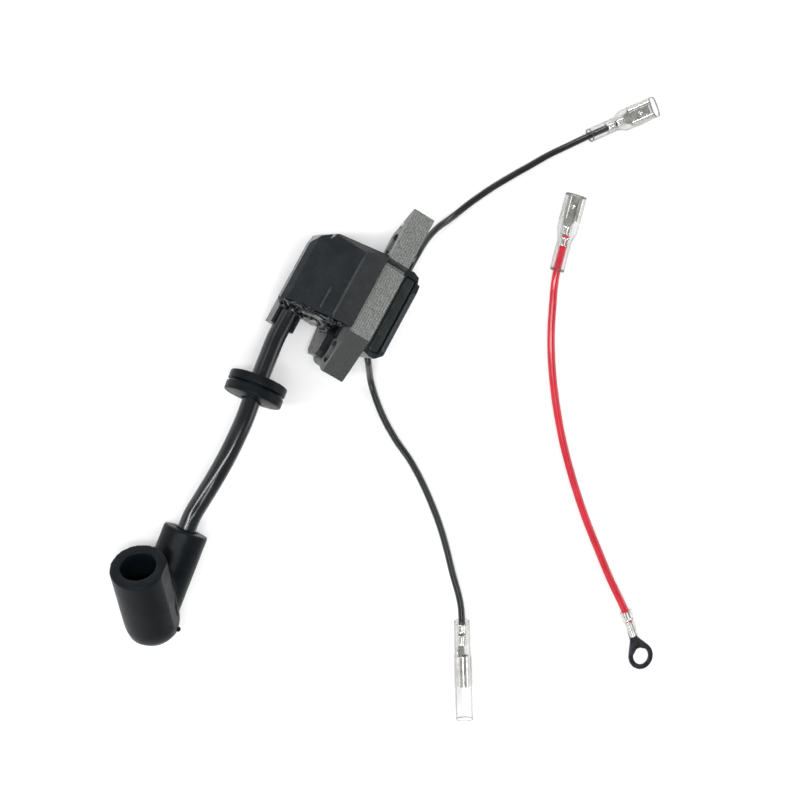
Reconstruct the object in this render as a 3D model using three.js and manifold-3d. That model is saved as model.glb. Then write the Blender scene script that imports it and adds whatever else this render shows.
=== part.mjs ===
// Ignition coil for a small two-stroke engine, with its plug lead and its low-tension leads, and a
// loose jumper lead. Millimetres, +Z up.
//
// The finished frame has its origin at the bottom centre of the coil body. The body itself is drawn
// in stack coordinates, inside one group: X = 0 is the left face of the lamination stack, Y = 0 the
// tip of its upper ear, with the stack running towards -Y, and Z = 0 the surface it stands on.
// The leads, which lie on that surface, are drawn in the finished frame.

import * as THREE from 'three';
import { mergeVertices } from 'three/addons/utils/BufferGeometryUtils.js';
import Module from 'manifold-3d';

const wasm = await Module();
wasm.setup();

// ---------------------------------------------------------------- driving dimensions

const GAP = 0.3; // between pieces that touch

const STACK_THICKNESS = 9; // eighteen sheets of 0.5
const STACK_LENGTH = 69.6;
const STACK_TOP = 29;
const CROSSBAR_BOTTOM = 20;
const LEG_A = { near: -33, far: -43 }; // the leg that carries the winding
const LEG_B_NEAR = -56; // the bare return leg
const FLYWHEEL_RADIUS = 48;
const POLE_MIDDLE = -49.5;
const POLE_CROWN = 3;
const SLOT_WIDTH = 5.2;
const SLOT_LENGTH = 9.2;
const UPPER_SLOT = { y: -15.3, z: 24.4 };
const LOWER_SLOT = { y: -61.4, z: 20.4 };
const RIVET_RADIUS = 1.1;
const RIVETS = [{ y: -7, z: 24.6 }, { y: -47, z: 24.5 }, { y: -61.5, z: 13 }];

const CASE_LEFT = -30;
const CASE_RIGHT = 17.4;
const CASE_TOP = 33;
const CASE_WALL = 1.6;
const CASE_END = { x: -15.5, y: -52.7, turn: 7.3, tilt: 3 }; // the open end, a leaning plane
const BRIDGE = { bottom: 4, top: CROSSBAR_BOTTOM - GAP, start: -23.9, end: -55.5 };
const TRAY = { bottom: 5, top: 26, channelDepth: 2 };
const WINDING_ROOM = { x0: -6, x1: 15.8, y0: -26.3, y1: -54.5, z0: 5.6, z1: 18.1 };
const TOWER = { x: -20.05, z: 17, end: -62.6, start: -52, halfWidth: 4.85, bottom: 10.5, wallTop: 17.5 };

const HT_LEAD_DIAMETER = 7;
const BLACK_LEAD_DIAMETER = 2.6;
const RED_LEAD_DIAMETER = 3;
const SHEET = 0.5; // terminal sheet metal

const BODY_SHIFT = new THREE.Vector3(-(CASE_LEFT + CASE_RIGHT) / 2, STACK_LENGTH / 2, 0);

// ---------------------------------------------------------------- cord routes, finished frame

const HT_ROUTE = [
  [-13.75, -19.2, 17], [-13.75, -24, 17], [-13.75, -28.2, 17], [-13.7, -32.3, 17.1],
  [-13.3, -36.7, 17.4], [-12.3, -46.6, 18.3], [-11.15, -56.75, 19.2], [-10.1, -64.8, 19.7],
  [-9.5, -72.7, 19.8], [-9.1, -80.6, 19.4], [-8.9, -89.25, 18.2], [-8.8, -97.25, 16.4],
  [-8.6, -104.15, 14.6], [-7.79, -110.19, 13.9], [-6.5, -118.05, 13.11], [-5.38, -124.92, 12.41],
  [-4.18, -132.29, 11.67],
];
const UPPER_ROUTE = [
  [19.5, 10.2, 17], [19.5, 14.6, 17], [19.7, 18.5, 16.5], [20.6, 23.5, 14.2], [22, 28.5, 10.6],
  [23.8, 33.5, 7], [26.3, 38.8, 3.8], [29.8, 45.1, 1.8], [33.9, 54.2, 1.4], [38.4, 63.1, 1.4],
  [43.5, 71.9, 1.5], [48.5, 80, 1.8], [53.1, 87.6, 2.4], [58.7, 95.5, 2.9], [64.3, 103.3, 3],
  [68.3, 108.56, 3], [72, 113.43, 3],
];
const LOWER_ROUTE = [
  [20.2, -17.98, 13], [22.5, -20.05, 13], [24.3, -21.6, 12], [26.5, -22.9, 9.3], [28.9, -24.2, 6.2],
  [31.4, -25.9, 3.5], [34.3, -28.1, 1.9], [38.2, -31.3, 1.4], [44.8, -36.2, 1.4], [53.1, -40.9, 1.4],
  [62.3, -45, 1.4], [70.7, -49.9, 1.4], [78.7, -55.5, 1.5], [86.3, -61.6, 1.7], [93.2, -68.2, 2.1],
  [99.6, -75.1, 2.8], [106, -81.5, 3.5], [109.4, -85.3, 3.6], [112.5, -89.9, 3.6], [115.4, -94.58, 3.6],
];
const RED_ROUTE = [
  [75.38, 63.5, 3.2], [77.41, 55.6, 3.2], [78.9, 49.8, 3.2], [81.2, 44, 2.8], [84.2, 38.3, 2.2],
  [89.4, 28.4, 1.6], [95.2, 18.7, 1.6], [101.7, 9.6, 1.6], [108.9, 0.7, 1.6], [116.5, -7.7, 1.6],
  [124.7, -15.7, 1.6], [133.4, -23.4, 1.6], [142.5, -30.8, 1.6], [152, -37.8, 1.6],
  [161.6, -44.8, 1.7], [168.8, -49.7, 2.1], [175.5, -54.1, 2.3], [179.4, -57, 2.3],
];

// ---------------------------------------------------------------- geometry helpers

function toSolid(geometry) {
  const bare = geometry.clone();
  bare.deleteAttribute('normal');
  bare.deleteAttribute('uv');
  const merged = mergeVertices(bare, 1e-4);
  return new wasm.Manifold(new wasm.Mesh({
    numProp: 3,
    vertProperties: new Float32Array(merged.attributes.position.array),
    triVerts: new Uint32Array(merged.index.array),
  }));
}

function toGeometry(solid) {
  const mesh = solid.getMesh();
  const geometry = new THREE.BufferGeometry();
  geometry.setAttribute('position', new THREE.BufferAttribute(mesh.vertProperties, 3));
  geometry.setIndex(new THREE.BufferAttribute(mesh.triVerts, 1));
  geometry.computeVertexNormals();
  return geometry;
}

const shapeOf = (points) => new THREE.Shape(points.map(([a, b]) => new THREE.Vector2(a, b)));

function prism(shape, depth, curveSegments = 10) {
  return new THREE.ExtrudeGeometry(shape, { depth, bevelEnabled: false, curveSegments });
}

// An outline in X and Y, from z0 up to z1.
function planSolid(shape, z0, z1) {
  return toSolid(prism(shape, z1 - z0).translate(0, 0, z0));
}

// An outline in X and Z, from y0 towards -Y to y1.
function sectionSolid(shape, y0, y1) {
  return toSolid(prism(shape, y0 - y1).rotateX(Math.PI / 2).translate(0, y0, 0));
}

// An outline in Y and Z, from x0 to x1.
function sideSolid(shape, x0, x1) {
  const turn = new THREE.Matrix4().makeBasis(
    new THREE.Vector3(0, 1, 0),
    new THREE.Vector3(0, 0, 1),
    new THREE.Vector3(1, 0, 0),
  );
  return toSolid(prism(shape, x1 - x0).applyMatrix4(turn).translate(x0, 0, 0));
}

function block(x0, x1, y0, y1, z0, z1) {
  const size = [x1 - x0, Math.abs(y1 - y0), z1 - z0];
  return toSolid(new THREE.BoxGeometry(...size).translate((x0 + x1) / 2, (y0 + y1) / 2, (z0 + z1) / 2));
}

// A round bar between two points, which may taper.
function rod(from, to, r0, r1 = r0, segments = 24) {
  const a = new THREE.Vector3(...from);
  const b = new THREE.Vector3(...to);
  const along = b.clone().sub(a);
  const turn = new THREE.Quaternion().setFromUnitVectors(new THREE.Vector3(0, 1, 0), along.clone().normalize());
  const geometry = new THREE.CylinderGeometry(r1, r0, along.length(), segments);
  const middle = a.add(b).multiplyScalar(0.5);
  return toSolid(geometry.applyQuaternion(turn).translate(middle.x, middle.y, middle.z));
}

// A convex outline moved inwards by a distance, edge by edge.
function inset(points, distance) {
  const area = points.reduce((sum, [x, y], i) => {
    const [nx, ny] = points[(i + 1) % points.length];
    return sum + x * ny - nx * y;
  }, 0);
  const side = Math.sign(area);
  const edges = points.map(([x, y], i) => {
    const [nx, ny] = points[(i + 1) % points.length];
    const length = Math.hypot(nx - x, ny - y);
    const normal = [(-(ny - y) / length) * side, ((nx - x) / length) * side];
    return { normal, offset: normal[0] * x + normal[1] * y + distance };
  });
  return edges.map((edge, i) => {
    const last = edges[(i + edges.length - 1) % edges.length];
    const [a, b] = last.normal;
    const [c, d] = edge.normal;
    const cross = a * d - b * c;
    return [(last.offset * d - b * edge.offset) / cross, (a * edge.offset - last.offset * c) / cross];
  });
}

function rectangle(x0, x1, y0, y1, radius) {
  const shape = new THREE.Shape();
  shape.moveTo(x0 + radius, y0);
  shape.lineTo(x1 - radius, y0);
  shape.absarc(x1 - radius, y0 + radius, radius, -Math.PI / 2, 0);
  shape.lineTo(x1, y1 - radius);
  shape.absarc(x1 - radius, y1 - radius, radius, 0, Math.PI / 2);
  shape.lineTo(x0 + radius, y1);
  shape.absarc(x0 + radius, y1 - radius, radius, Math.PI / 2, Math.PI);
  shape.lineTo(x0, y0 + radius);
  shape.absarc(x0 + radius, y0 + radius, radius, Math.PI, Math.PI * 1.5);
  return shape;
}

// A rectangular ring round leg A, which starts and ends the given distances outside the leg.
function legRing(inner, outer, z0, z1) {
  const y0 = LEG_A.far;
  const y1 = LEG_A.near;
  const outside = rectangle(-outer, STACK_THICKNESS + outer, y0 - outer, y1 + outer, Math.min(2, outer));
  const hole = rectangle(-inner, STACK_THICKNESS + inner, y0 - inner, y1 + inner, Math.min(1.2, inner / 2));
  return planSolid(outside, z0, z1).subtract(planSolid(hole, z0 - 1, z1 + 1));
}

// A closed profile of [x, radius] points, the bore first, turned about the X axis.
function turned(profile, segments = 24) {
  const points = profile.map(([x, r]) => new THREE.Vector2(r, x)).reverse();
  points.push(points[0].clone());
  return new THREE.LatheGeometry(points, segments).rotateZ(-Math.PI / 2);
}

function tube(route, diameter, sides, steps) {
  const curve = new THREE.CatmullRomCurve3(route.map((p) => new THREE.Vector3(...p)), false, 'centripetal');
  const corners = Array.from({ length: sides }, (_, i) => {
    const angle = (i * 2 * Math.PI) / sides;
    return [Math.cos(angle) * diameter / 2, Math.sin(angle) * diameter / 2];
  });
  const options = { steps, extrudePath: curve, bevelEnabled: false };
  return toSolid(new THREE.ExtrudeGeometry(shapeOf(corners), options));
}

// ---------------------------------------------------------------- materials

const finish = (color, roughness, metalness = 0) => ({ color, roughness, metalness });
const STEEL_STACK = finish(0x6f7270, 0.5, 0.8);
const RIVET_STEEL = finish(0x8a8c8c, 0.4, 0.9);
const CASE_PLASTIC = finish(0x17181a, 0.45);
const EPOXY = finish(0x0b0b0d, 0.12);
const BOBBIN_PLASTIC = finish(0x2a2a2c, 0.6);
const COPPER = finish(0xa4552c, 0.35, 0.8);
const BRASS = finish(0xb59a4c, 0.35, 0.9);
const BOARD = finish(0x2f5a34, 0.6);
const COMPONENT_RED = finish(0x8c2f22, 0.5);
const COMPONENT_BLACK = finish(0x141414, 0.5);
const RUBBER = finish(0x131314, 0.6);
const LEAD_BLACK = finish(0x0e0e10, 0.35);
const LEAD_RED = finish(0xc8141c, 0.35);
const CLEAR_PVC = finish(0xdfe3e2, 0.15);
const TIN_PLATE = finish(0xb9bab6, 0.3, 0.95);
const SPRING_STEEL = finish(0x9a9c9e, 0.3, 0.9);

const coil = new THREE.Group();
const body = new THREE.Group();
body.position.copy(BODY_SHIFT);
coil.add(body);

function addTo(group, name, shape, look) {
  const geometry = shape.isBufferGeometry ? shape : toGeometry(shape);
  const mesh = new THREE.Mesh(geometry, new THREE.MeshStandardMaterial(look));
  mesh.name = name;
  group.add(mesh);
}

// ---------------------------------------------------------------- lamination stack

const poleHeight = (y) => (
  POLE_CROWN - FLYWHEEL_RADIUS + Math.sqrt(FLYWHEEL_RADIUS ** 2 - (y - POLE_MIDDLE) ** 2)
);

function poleArc(from, to, count) {
  return Array.from({ length: count + 1 }, (_, i) => {
    const y = from + ((to - from) * i) / count;
    return [y, poleHeight(y)];
  });
}

function slotShape({ y, z }) {
  const half = (SLOT_LENGTH - SLOT_WIDTH) / 2;
  const r = SLOT_WIDTH / 2;
  const shape = new THREE.Shape();
  shape.moveTo(y - half, z - r);
  shape.lineTo(y + half, z - r);
  shape.absarc(y + half, z, r, -Math.PI / 2, Math.PI / 2);
  shape.lineTo(y - half, z + r);
  shape.absarc(y - half, z, r, Math.PI / 2, Math.PI * 1.5);
  return shape;
}

function coreStack() {
  const outline = [
    [0, STACK_TOP], [-20.8, STACK_TOP], [-22.6, STACK_TOP - 1.9], [-23.9, STACK_TOP - 2.1],
    [-23.9, STACK_TOP], [-52, STACK_TOP], [-69.1, 23.4], [-STACK_LENGTH, 22.8], [-69.2, 20.6],
    [-67.9, 17.4], [-67, 11], [-66, 7.4], [-64.2, 4.2], [-61.8, 2.2],
    ...poleArc(-60, LEG_B_NEAR, 3),
    [LEG_B_NEAR, CROSSBAR_BOTTOM], [LEG_A.far, CROSSBAR_BOTTOM],
    ...poleArc(LEG_A.far, LEG_A.near, 4),
    [LEG_A.near, CROSSBAR_BOTTOM], [-12, CROSSBAR_BOTTOM], [-10.6, 20.5], [0, STACK_TOP - 0.9],
  ];
  const cuts = [UPPER_SLOT, LOWER_SLOT].map((slot) => sideSolid(slotShape(slot), -1, STACK_THICKNESS + 1));
  const holes = RIVETS.map(({ y, z }) => (
    rod([-1, y, z], [STACK_THICKNESS + 1, y, z], RIVET_RADIUS + GAP, RIVET_RADIUS + GAP, 16)
  ));
  return [...cuts, ...holes].reduce(
    (solid, cut) => solid.subtract(cut),
    sideSolid(shapeOf(outline), 0, STACK_THICKNESS),
  );
}

addTo(body, 'core_stack', coreStack(), STEEL_STACK);
['upper_ear_rivet', 'crossbar_rivet', 'return_leg_rivet'].forEach((name, i) => {
  const { y, z } = RIVETS[i];
  addTo(body, name, rod([-0.1, y, z], [STACK_THICKNESS + 0.1, y, z], RIVET_RADIUS, RIVET_RADIUS, 16), RIVET_STEEL);
});

// ---------------------------------------------------------------- case

const LEFT_SECTION = [
  [-GAP, 0], [-GAP, 30.6], [-9, 32.3], [-9.7, CASE_TOP], [-28.3, CASE_TOP], [CASE_LEFT, 31], [CASE_LEFT, 28],
  [-19.5, 1.5], [-18, 0],
];
const PAST_END = -70; // past the open end of the case
const LEFT_PLAN = [
  [-GAP, -20.4], [-22, -23.8], [-27.8, -27.9], [CASE_LEFT, -32], [CASE_LEFT, PAST_END], [-GAP, PAST_END],
];
const LEFT_SIDE = [[-20.4, 0], [-20.4, 29.2], [-24.6, CASE_TOP], [PAST_END, CASE_TOP], [PAST_END, 0]];
const TRAY_PLAN = [
  [STACK_THICKNESS + GAP, -20.3], [12.8, -20.2], [15.3, -21.2], [16, -23.4], [17.1, -23.8],
  [CASE_RIGHT, -26], [CASE_RIGHT, -53.5], [14.8, -56.2], [12.5, -56.4], [STACK_THICKNESS + GAP, -55.6],
];

// The large half of the case, open-ended towards -Y, with its faces moved inwards by a distance.
function leftForm(distance) {
  return sectionSolid(shapeOf(inset(LEFT_SECTION, distance)), 0, PAST_END - 5)
    .intersect(planSolid(shapeOf(inset(LEFT_PLAN, distance)), -1, CASE_TOP + 1))
    .intersect(sideSolid(shapeOf(inset(LEFT_SIDE, distance)), -40, 5));
}

// Everything on the case's side of its open end, moved outwards by a distance.
function insideEnd(distance) {
  const slab = new THREE.BoxGeometry(140, 100, 140).translate(0, 50 - distance, 0);
  slab.rotateX(-THREE.MathUtils.degToRad(CASE_END.tilt)).rotateZ(THREE.MathUtils.degToRad(CASE_END.turn));
  return toSolid(slab.translate(CASE_END.x, CASE_END.y, CASE_TOP));
}

// A lug that runs from the case along the bare leg's left face.
function legLug(clearance) {
  const outline = [[-49, 17.2], [-62.5, 17.2], [-64.7, 15], [-64.7, 7.5], [-63, 4.8], [-52, 1.2], [-49, 1.2]];
  return sideSolid(shapeOf(inset(outline, -clearance)), -3.3 - clearance, -GAP + Math.min(clearance, 0.1));
}

function towerTrough(clearance) {
  const { x, start, end, halfWidth, bottom, wallTop } = TOWER;
  const half = halfWidth + clearance;
  return block(x - half, x + half, start + clearance, end - clearance, bottom - clearance, wallTop + clearance);
}

function leadBore(radius, from, to) {
  return rod([TOWER.x, from, TOWER.z], [TOWER.x, to, TOWER.z], radius, radius, 32);
}

function coilCase() {
  const room = WINDING_ROOM;
  const bridge = block(-1, STACK_THICKNESS + 1, BRIDGE.start, BRIDGE.end, BRIDGE.bottom, BRIDGE.top);
  const tray = planSolid(shapeOf(TRAY_PLAN), TRAY.bottom, TRAY.top);
  const channel = planSolid(rectangle(10.6, 15.4, -54.4, -22.6, 1), TRAY.top - TRAY.channelDepth, TRAY.top + 1);
  const rooms = leftForm(CASE_WALL)
    .add(block(room.x0, room.x1, room.y0, room.y1, room.z0, room.z1))
    .add(block(room.x0, STACK_THICKNESS, room.y0, PAST_END, room.z0, room.z1));
  const legHole = block(-GAP, STACK_THICKNESS + GAP, LEG_A.near + GAP, LEG_A.far - GAP, 0, 25);
  const notch = planSolid(shapeOf([[-22.6, -22], [-25.6, -24.4], [-24.4, -27.4], [-23.2, -25.4]]), 28, 40);
  const upperHole = rod([13.2, -19, 17], [13.2, -27, 17], 1.7, 1.7, 16);
  const lowerHole = rod([14.6, -53.42, 13], [19.3, -57.65, 13], 1.7, 1.7, 16);
  return leftForm(0)
    .intersect(insideEnd(0))
    .add(bridge)
    .add(tray)
    .subtract(rooms)
    .subtract(channel)
    .subtract(legHole)
    .subtract(notch)
    .subtract(upperHole)
    .subtract(lowerHole)
    .add(towerTrough(0))
    .add(legLug(0))
    .subtract(leadBore(HT_LEAD_DIAMETER / 2 + GAP, TOWER.start + 1, TOWER.end - 1));
}

// The epoxy that closes the open end: it fills the last few millimetres and stands a little proud.
function pottingPlug() {
  const room = WINDING_ROOM;
  const under = block(-4, STACK_THICKNESS, -50, BRIDGE.end, room.z0 + GAP, room.z1 - GAP);
  return leftForm(CASE_WALL + GAP)
    .intersect(insideEnd(0.6))
    .subtract(insideEnd(-2.4))
    .add(under)
    .subtract(towerTrough(GAP))
    .subtract(legLug(GAP))
    .subtract(leadBore(HT_LEAD_DIAMETER / 2 + GAP, TOWER.start + 1, TOWER.end - 1))
    .subtract(leadBore(2.1, -47, -54));
}

addTo(body, 'coil_case', coilCase(), CASE_PLASTIC);
addTo(body, 'potting_plug', pottingPlug(), EPOXY);
addTo(body, 'tray_potting', planSolid(
  rectangle(10.6 + GAP, 15.4 - GAP, -54.4 + GAP, -22.6 - GAP, 0.8),
  TRAY.top - TRAY.channelDepth + GAP,
  TRAY.top - 0.6,
), EPOXY);

// ---------------------------------------------------------------- windings round leg A

const COIL_FLOOR = WINDING_ROOM.z0 + GAP;
const COIL_ROOF = WINDING_ROOM.z1 - GAP;
const FLANGE = 0.9;
const WIRE_FLOOR = COIL_FLOOR + FLANGE + GAP;
const WIRE_ROOF = COIL_ROOF - FLANGE - GAP;

function bobbin(inner, wall, flange, floor, roof) {
  return legRing(inner, inner + wall, floor, roof)
    .add(legRing(inner, flange, floor, floor + FLANGE))
    .add(legRing(inner, flange, roof - FLANGE, roof));
}

addTo(body, 'primary_bobbin', bobbin(GAP, 0.9, 5.6, COIL_FLOOR, COIL_ROOF), BOBBIN_PLASTIC);
addTo(body, 'primary_winding', legRing(1.5, 2.8, WIRE_FLOOR, WIRE_ROOF), COPPER);
addTo(body, 'secondary_former', legRing(3.1, 3.8, WIRE_FLOOR, WIRE_ROOF), BOBBIN_PLASTIC);
addTo(body, 'secondary_winding', legRing(4.1, 5.3, WIRE_FLOOR, WIRE_ROOF), COPPER);

// ---------------------------------------------------------------- ignition circuit

function spikeTerminal() {
  const { x, z } = TOWER;
  return rod([x, -48.4, z], [x, -50.6, z], 1.7, 1.7, 20)
    .add(rod([x, -50.5, z], [x, -52.6, z], 0.9, 0.15, 12))
    .add(rod([x, -49, z], [-7.2, -49, 12], 0.5, 0.5, 8))
    .add(rod([-7.2, -49, 12], [-7.2, -46, 12], 0.5, 0.5, 8));
}

addTo(body, 'circuit_board', block(-9.6, -8, -27, -46.4, 3.4, 29.4), BOARD);
addTo(body, 'charge_capacitor', planSolid(rectangle(-19.4, -10, -45, -31, 1.6), 17.5, 29), COMPONENT_RED);
addTo(body, 'thyristor', planSolid(rectangle(-14.2, -10, -37, -32.2, 1.2), 8, 13), COMPONENT_BLACK);
addTo(body, 'rectifier_diode', rod([-12, -39.4, 6], [-12, -44.6, 6], 1.35, 1.35, 16), COMPONENT_BLACK);
addTo(body, 'spike_terminal', spikeTerminal(), BRASS);

// ---------------------------------------------------------------- plug lead, grommet and boot

const GROMMET_AT = new THREE.Vector3(-11.62, -52.7, 18.85);
const GROMMET_ALONG = new THREE.Vector3(0.1, -1, 0.095).normalize();
const ELBOW = new THREE.Vector3(-2.15, -144.67, 10.42);
const STEM_END = new THREE.Vector3(-7.79, -110.19, 13.9);
const MOUTH = new THREE.Vector3(-21.12, -130, 27);
const BOOT = {
  mouthRadius: 10.6, heelRadius: 10.4, stemRadius: 8.5, boreRadius: 6.5, boreDepth: 19, pocketDepth: 24.5,
};
const STEM_BORE_END = 12; // from the elbow

function grommet() {
  const bore = HT_LEAD_DIAMETER / 2 + 0.5;
  const profile = [
    [-4.5, bore], [4.5, bore], [4.5, 5.6], [3.9, 10.6], [3.5, 11.1], [0.5, 11.1], [0.5, 9.2],
    [-0.5, 9.2], [-0.5, 11.1], [-3.5, 11.1], [-3.9, 10.6], [-4.5, 5.6],
  ];
  const turn = new THREE.Quaternion().setFromUnitVectors(new THREE.Vector3(1, 0, 0), GROMMET_ALONG);
  return turned(profile, 32).applyQuaternion(turn).translate(...GROMMET_AT);
}

const along = (from, to, distance) => (
  from.clone().add(to.clone().sub(from).normalize().multiplyScalar(distance)).toArray()
);

function boot() {
  const heel = ELBOW.toArray();
  const ball = new THREE.SphereGeometry(BOOT.heelRadius, 24, 16).rotateX(Math.PI / 2).translate(...heel);
  const outside = rod(heel, MOUTH.toArray(), BOOT.heelRadius, BOOT.mouthRadius, 32)
    .add(toSolid(ball))
    .add(rod(heel, STEM_END.toArray(), BOOT.stemRadius, BOOT.stemRadius, 28));
  const plugBore = rod(along(MOUTH, ELBOW, BOOT.boreDepth), along(MOUTH, ELBOW, -2), BOOT.boreRadius);
  const springPocket = rod(along(MOUTH, ELBOW, BOOT.pocketDepth), along(MOUTH, ELBOW, BOOT.boreDepth - 1), 4.6);
  const leadBoreEnd = along(ELBOW, STEM_END, STEM_BORE_END);
  const stemBore = rod(leadBoreEnd, along(STEM_END, ELBOW, -2), HT_LEAD_DIAMETER / 2 + 0.5);
  return outside.subtract(plugBore).subtract(springPocket).subtract(stemBore);
}

// The coil spring that snaps over the plug's terminal nut.
function contactSpring() {
  const turns = 3;
  const radius = 3.7;
  const count = 36;
  const axis = ELBOW.clone().sub(MOUTH).normalize();
  const turn = new THREE.Quaternion().setFromUnitVectors(new THREE.Vector3(0, 0, 1), axis);
  const start = new THREE.Vector3(...along(MOUTH, ELBOW, 18));
  const points = Array.from({ length: count + 1 }, (_, i) => {
    const angle = (i / count) * turns * 2 * Math.PI;
    const local = new THREE.Vector3(Math.cos(angle) * radius, Math.sin(angle) * radius, (i / count) * 5.6);
    return local.applyQuaternion(turn).add(start).toArray();
  });
  return tube(points, 0.9, 8, 48);
}

addTo(coil, 'ht_lead', tube(HT_ROUTE, HT_LEAD_DIAMETER, 12, 18), LEAD_BLACK);
addTo(coil, 'lead_grommet', grommet(), RUBBER);
addTo(coil, 'spark_plug_boot', boot(), RUBBER);
addTo(coil, 'boot_contact_spring', contactSpring(), SPRING_STEEL);

// ---------------------------------------------------------------- terminals and their sleeves
// Each is drawn along +X from the rear of its sleeve, with the wire's axis on the X axis.

function placedAt(from, to) {
  const group = new THREE.Group();
  group.position.set(...from);
  group.rotation.z = Math.atan2(to[1] - from[1], to[0] - from[0]);
  coil.add(group);
  return group;
}

// A wire barrel: a ring round the insulation, a solid barrel on the strands, and the floor under both.
function crimp(wireRadius, start, floorEnd) {
  const inner = wireRadius + GAP;
  const outer = inner + SHEET;
  return rod([start, 0, 0], [start + 3.4, 0, 0], outer, outer, 20)
    .subtract(rod([start - 1, 0, 0], [start + 4.4, 0, 0], inner, inner, 20))
    .add(rod([start + 4.6, 0, -0.25], [start + 8.4, 0, -0.25], outer - 0.25, outer - 0.25, 20))
    .add(block(start, floorEnd, -0.9, 0.9, -outer, -outer + SHEET));
}

// Distances along a spade terminal, from the start of its crimp.
const SPADE = { rampStart: 7.6, bodyStart: 11, length: 9.8, halfWidth: 3.6, rise: 2.3 };

function femaleSpade(wireRadius, start) {
  const floor = -(wireRadius + GAP + SHEET);
  const { halfWidth: w, rise, length } = SPADE;
  const rampStart = start + SPADE.rampStart;
  const bodyStart = start + SPADE.bodyStart;
  const z = -rise / 2;
  const curl = [
    [-w, z], [w, z], [w, -z], [0.7, -z], [0.7, -z - SHEET], [w - SHEET, -z - SHEET],
    [w - SHEET, z + SHEET], [-w + SHEET, z + SHEET], [-w + SHEET, -z - SHEET], [-0.7, -z - SHEET],
    [-0.7, -z], [-w, -z],
  ];
  const ramp = [
    [rampStart, floor], [bodyStart, z], [bodyStart + 1, z], [bodyStart + 1, z + SHEET],
    [bodyStart, z + SHEET], [rampStart, floor + SHEET],
  ];
  return crimp(wireRadius, start, rampStart + 0.2)
    .add(sectionSolid(shapeOf(ramp), 1.7, -1.7))
    .add(sideSolid(shapeOf(curl), bodyStart, bodyStart + length));
}

// A clear sleeve: a round neck on the wire that opens into a flattened hood over the terminal.
function spadeSleeve(wireRadius, taperStart, taperEnd, length) {
  const wall = 0.35;
  const neck = wireRadius + 2 * GAP + SHEET;
  const hood = 3.3;
  const inside = [[0, neck], [taperStart, neck], [taperEnd, hood], [length, hood]];
  const outside = inside.map(([x, r]) => [x, r + wall]).reverse();
  const geometry = turned([...inside, ...outside], 32);
  const place = geometry.attributes.position;
  for (let i = 0; i < place.count; i += 1) {
    const [y, z] = [place.getY(i), place.getZ(i)];
    const open = THREE.MathUtils.smoothstep(place.getX(i), taperStart - 0.1, taperEnd);
    const power = 2 + open;
    const radius = Math.hypot(y, z);
    const square = (Math.abs(y / radius) ** power + Math.abs(z / radius) ** power) ** (-1 / power);
    place.setY(i, y * square * (1 + 0.19 * open));
    place.setZ(i, z * square * (1 - 0.27 * open));
  }
  return geometry;
}

function bulletSocket(wireRadius) {
  const barrel = 2.45;
  return crimp(wireRadius, 1.5, 14.5)
    .add(rod([13.4, 0, 0], [26.4, 0, 0], barrel, barrel, 24)
      .subtract(rod([15.4, 0, 0], [27, 0, 0], barrel - SHEET, barrel - SHEET, 24)));
}

function bulletSleeve() {
  const wall = 0.4;
  const inside = [[0, 2.75], [12, 2.8], [15, 3.1], [39.6, 3.1]];
  return turned([...inside, ...inside.map(([x, r]) => [x, r + wall]).reverse()], 28);
}

const RING = { centre: 21.3, outer: 5.5, inner: 3.5, thickness: 0.8 };

function ringTerminal(wireRadius) {
  const floor = -(wireRadius + GAP + SHEET);
  const { centre, outer, inner, thickness } = RING;
  const ringPart = rod([centre, 0, floor], [centre, 0, floor + thickness], outer, outer, 32)
    .add(block(7, centre - outer + 1, -1.9, 1.9, floor, floor + thickness))
    .subtract(rod([centre, 0, floor - 1], [centre, 0, floor + 2], inner, inner, 32));
  return crimp(wireRadius, 0.6, 8).add(ringPart);
}

const BLACK_RADIUS = BLACK_LEAD_DIAMETER / 2;
const RED_RADIUS = RED_LEAD_DIAMETER / 2;

const upperEnd = placedAt([64.3, 103.3, 3], [84.15, 129.4, 3]);
addTo(coil, 'upper_lead', tube(UPPER_ROUTE, BLACK_LEAD_DIAMETER, 8, 30), LEAD_BLACK);
addTo(upperEnd, 'upper_spade_terminal', femaleSpade(BLACK_RADIUS, 8.4), TIN_PLATE);
addTo(upperEnd, 'upper_spade_sleeve', spadeSleeve(BLACK_RADIUS, 12.4, 16.4, 31.5), CLEAR_PVC);

const lowerEnd = placedAt([112.5, -89.9, 3.6], [133.4, -123.6, 3.6]);
addTo(coil, 'lower_lead', tube(LOWER_ROUTE, BLACK_LEAD_DIAMETER, 8, 36), LEAD_BLACK);
addTo(lowerEnd, 'lower_bullet_socket', bulletSocket(BLACK_RADIUS), TIN_PLATE);
addTo(lowerEnd, 'lower_bullet_sleeve', bulletSleeve(), CLEAR_PVC);

const redSpadeEnd = placedAt([78.9, 49.8, 3.2], [71.3, 79.4, 3.2]);
const ringEnd = placedAt([175.5, -54.1, 2.3], [192.5, -66.9, 2.3]);
addTo(coil, 'jumper_lead', tube(RED_ROUTE, RED_LEAD_DIAMETER, 8, 36), LEAD_RED);
addTo(redSpadeEnd, 'jumper_spade_terminal', femaleSpade(RED_RADIUS, 10), TIN_PLATE);
addTo(redSpadeEnd, 'jumper_spade_sleeve', spadeSleeve(RED_RADIUS, 11.5, 17.5, 31), CLEAR_PVC);
addTo(ringEnd, 'jumper_ring_terminal', ringTerminal(RED_RADIUS), TIN_PLATE);

export default coil;
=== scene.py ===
"""Ignition coil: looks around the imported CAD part. Metres, row frame, +Z up."""

import math
import random

import bmesh
import bpy
from mathutils import Matrix, Vector, noise


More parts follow.
